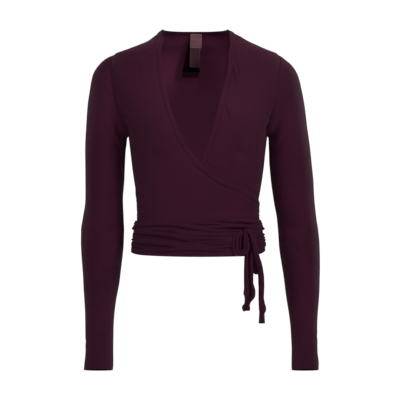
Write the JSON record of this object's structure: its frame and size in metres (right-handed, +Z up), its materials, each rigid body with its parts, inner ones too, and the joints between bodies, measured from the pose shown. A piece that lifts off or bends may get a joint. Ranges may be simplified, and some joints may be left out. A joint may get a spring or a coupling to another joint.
{
  "type": "wrap top",
  "caption": "Long-sleeved jersey wrap top in its worn shape, with a deep crossed V neck, a gathered waist wrap and a side bow with hanging tie ends.",
  "frame": {"origin": "middle of the line between the two neck points, where the shoulder seams begin and the wearer's shoulders hold the top up", "axes": "+Z up along the body, the front faces -Y, +X towards the wearer's left arm"},
  "size_m": [0.4932, 0.2173, 0.7011],
  "materials": {
    "jersey": "fine soft plum jersey, matt with a faint sheen",
    "label_satin": "woven satin label, blank",
    "care_tape": "dark woven tape, blank"
  },
  "bodies": {
    "root": {"back": "jersey", "band_back": "jersey", "band_left": "jersey", "band_right": "jersey", "bow_knot": "jersey", "bow_loop_left": "jersey", "bow_loop_right": "jersey", "care_label": "care_tape", "front_left": "jersey", "front_right": "jersey", "neck_label": "label_satin", "sleeve_left": "jersey", "sleeve_right": "jersey", "tie_end_left": "jersey", "tie_end_right": "jersey", "waist_sash": "jersey"}
  },
  "joints": []
}
